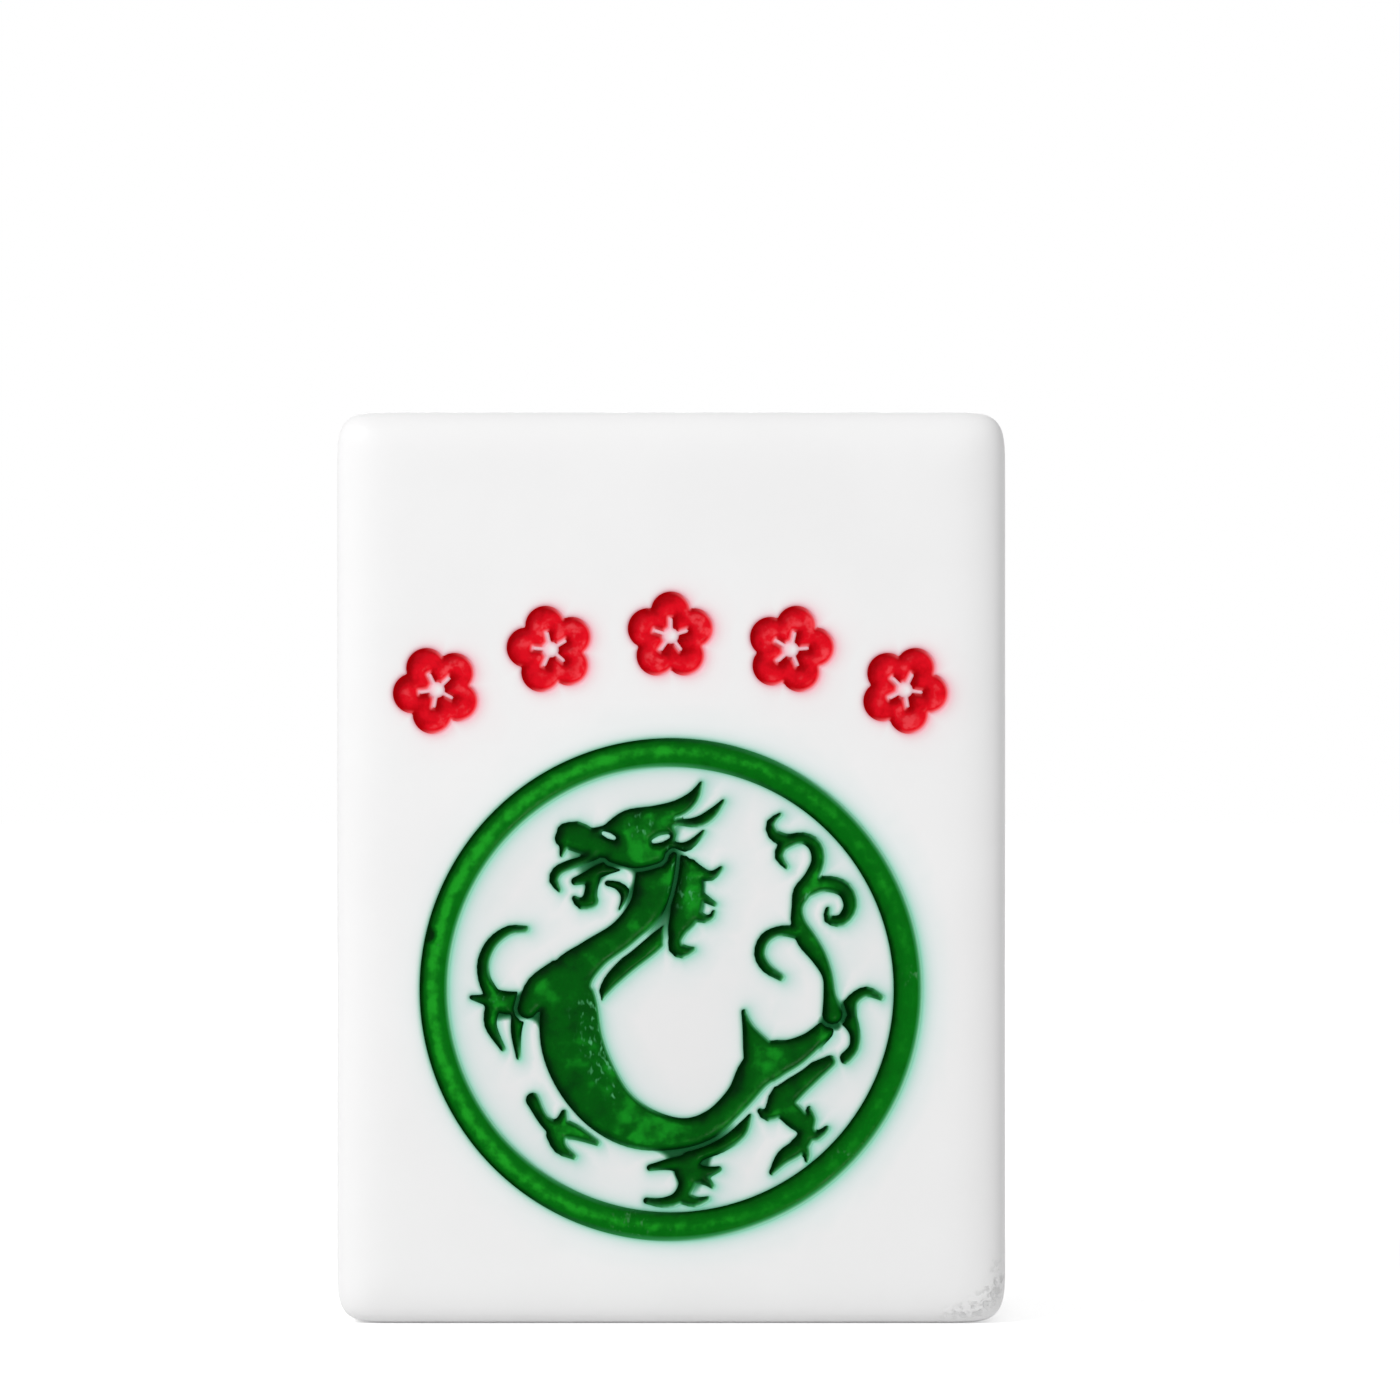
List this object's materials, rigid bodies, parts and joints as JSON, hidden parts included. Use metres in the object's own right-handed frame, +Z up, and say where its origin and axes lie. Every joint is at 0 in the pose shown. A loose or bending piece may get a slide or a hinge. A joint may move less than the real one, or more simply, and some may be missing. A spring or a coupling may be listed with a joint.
{
  "type": "mahjong tile",
  "caption": "Upright white playing tile with rounded edges and an engraved, enamel-filled face: a ring round a coiled dragon, and a row of small blossoms above it.",
  "frame": {"origin": "centre of the tile's foot, on the surface that it stands on", "axes": "+Z up along the tile's long side, -Y out of the engraved face, +X to the right as the face is looked at"},
  "size_m": [0.022, 0.013, 0.03],
  "materials": {
    "block": "polished white moulded resin",
    "ring_enamel": "glossy mid green enamel, slightly uneven",
    "figure_enamel": "glossy dark green enamel, pooled in the engraving",
    "red_enamel": "glossy red enamel, slightly uneven"
  },
  "bodies": {
    "root": {"tile_block": "block", "ring_enamel": "ring_enamel", "blossom_enamel_1": "red_enamel", "blossom_enamel_2": "red_enamel", "blossom_enamel_3": "red_enamel", "blossom_enamel_4": "red_enamel", "blossom_enamel_5": "red_enamel", "head_enamel": "figure_enamel", "tail_enamel": "figure_enamel", "body_enamel": "figure_enamel", "jaw_enamel": "figure_enamel", "whisker_enamel": "figure_enamel", "mane_enamel": "figure_enamel", "throat_enamel": "figure_enamel", "forefoot_enamel": "figure_enamel", "left_foot_enamel": "figure_enamel", "lower_foot_enamel": "figure_enamel", "hind_leg_enamel": "figure_enamel", "heel_enamel": "figure_enamel"}
  },
  "joints": []
}
